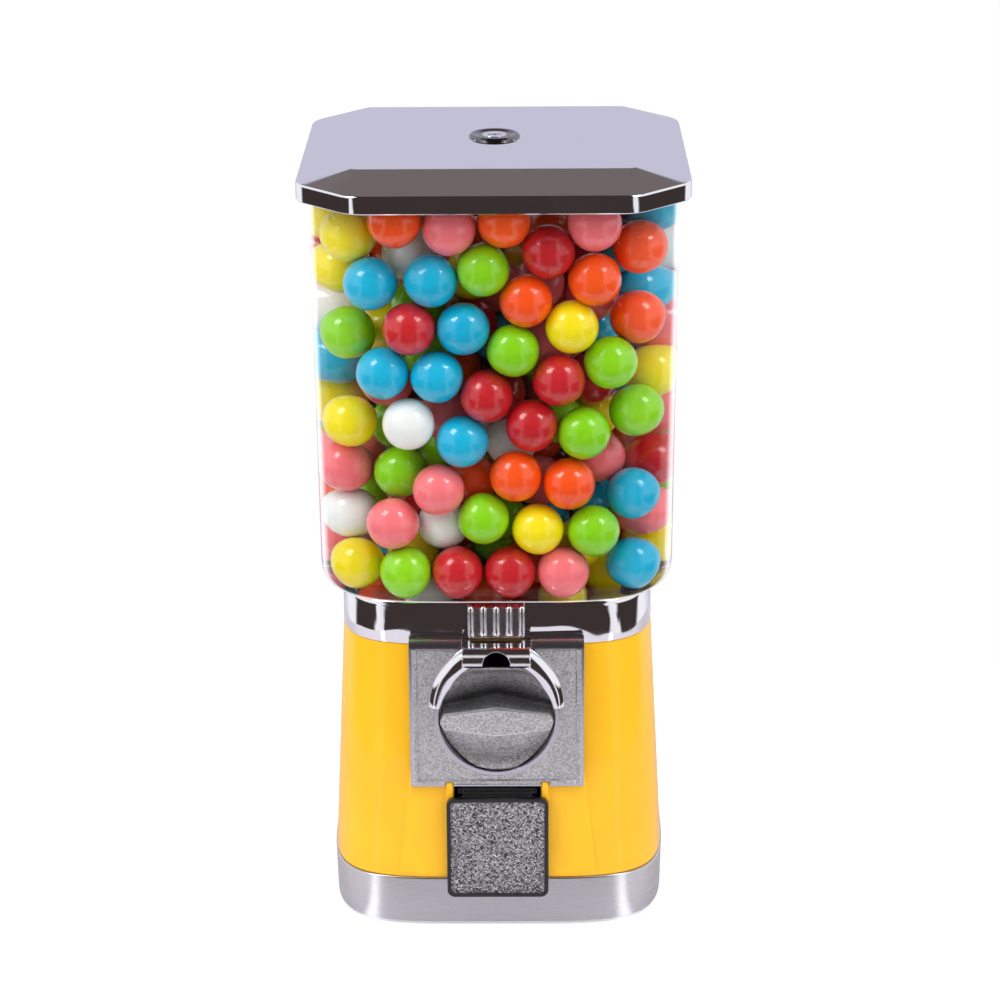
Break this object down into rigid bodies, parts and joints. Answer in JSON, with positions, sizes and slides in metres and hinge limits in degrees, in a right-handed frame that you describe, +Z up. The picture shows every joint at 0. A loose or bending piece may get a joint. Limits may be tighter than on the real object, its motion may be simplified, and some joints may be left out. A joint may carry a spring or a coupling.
{
  "type": "gumball machine",
  "caption": "Countertop gumball vending machine with a clear square hopper, painted base, coin mechanism with a turning handle, and a flap door.",
  "frame": {"origin": "on the table, under the centre rod", "axes": "+Z up; the coin mechanism and the chute door face -Y"},
  "size_m": [0.1896, 0.1918, 0.3957],
  "materials": {
    "satin_steel": "brushed",
    "dark_steel": "satin",
    "rubber_black": "matte",
    "yellow_paint": "gloss",
    "bright_chrome": "polished",
    "grained_chrome": "grained, satin",
    "die_cast": "as cast",
    "zinc_plate": "satin",
    "brass": "satin",
    "spring_steel": "satin",
    "wheel_plastic": "semi-gloss",
    "pan_plastic": "satin",
    "bristle": "matte",
    "black_plastic": "satin",
    "clear_plastic": "clear, polished",
    "lid_enamel": "gloss",
    "gumballs_red": "sugar shell, gloss",
    "gumballs_orange": "sugar shell, gloss",
    "gumballs_yellow": "sugar shell, gloss",
    "gumballs_green": "sugar shell, gloss",
    "gumballs_blue": "sugar shell, gloss",
    "gumballs_pink": "sugar shell, gloss",
    "gumballs_white": "sugar shell, gloss"
  },
  "bodies": {
    "base": {"base_ring": "satin_steel", "base_plate": "dark_steel", "rubber_feet": "rubber_black", "body_shell": "yellow_paint", "collar": "bright_chrome", "face_plate": "grained_chrome", "coin_hood": "bright_chrome", "mech_housing": "die_cast", "mech_back_plate": "zinc_plate", "mech_screws": "zinc_plate", "ratchet_pawl": "spring_steel", "dog_pin": "zinc_plate", "dog_spring": "spring_steel", "wheel_pan": "pan_plastic", "brush_cover": "zinc_plate", "brush_strips": "bristle", "cover_screws": "zinc_plate", "chute": "black_plastic", "door_pin": "zinc_plate", "centre_rod": "zinc_plate", "rod_nuts": "zinc_plate", "rod_washers": "zinc_plate", "hopper": "clear_plastic", "gumballs_red": "gumballs_red", "gumballs_orange": "gumballs_orange", "gumballs_yellow": "gumballs_yellow", "gumballs_green": "gumballs_green", "gumballs_blue": "gumballs_blue", "gumballs_pink": "gumballs_pink", "gumballs_white": "gumballs_white"},
    "handle": {"handle": "bright_chrome", "handle_shaft": "zinc_plate", "coin_wheel": "die_cast", "ratchet": "zinc_plate", "pinion": "brass", "shaft_clip": "spring_steel"},
    "wheel": {"dispensing_wheel": "wheel_plastic"},
    "chute_door": {"door_rim": "black_plastic", "door_plate": "grained_chrome"},
    "lid": {"lid": "lid_enamel", "lock_body": "bright_chrome", "lock_nut": "zinc_plate"},
    "lock_plug": {"lock_plug": "bright_chrome"},
    "coin_dog": {"coin_dog": "zinc_plate"}
  },
  "joints": [
    {"name": "handle_turn", "type": "hinge", "parent": "base", "child": "handle", "pos_m": [0, -0.08, 0.1178], "axis": [0, 1, 0], "continuous": true, "deforming": ["ratchet_pawl"]},
    {"name": "wheel_spin", "type": "hinge", "parent": "base", "child": "wheel", "pos_m": [0, 0, 0.143], "axis": [0, 0, 1], "continuous": true},
    {"name": "door_swing", "type": "hinge", "parent": "base", "child": "chute_door", "pos_m": [0, -0.0841, 0.076], "axis": [-1, 0, 0], "range_deg": [0, 65]},
    {"name": "lid_lift", "type": "slide", "parent": "base", "child": "lid", "axis": [0, 0, 1], "range_m": [0, 0.06]},
    {"name": "lock_turn", "type": "hinge", "parent": "lid", "child": "lock_plug", "pos_m": [0, 0, 0.39], "axis": [0, 0, 1], "range_deg": [0, 90]},
    {"name": "dog_lift", "type": "hinge", "parent": "base", "child": "coin_dog", "pos_m": [0.0285, -0.0697, 0.1378], "axis": [0, 1, 0], "range_deg": [0, 6], "stiffness_Nm_per_rad": 0.02, "springref_deg": -17.19, "deforming": ["dog_spring"]}
  ],
  "couplings": [
    {"joint": "wheel_spin", "follows": "handle_turn", "ratio": 0.2}
  ]
}
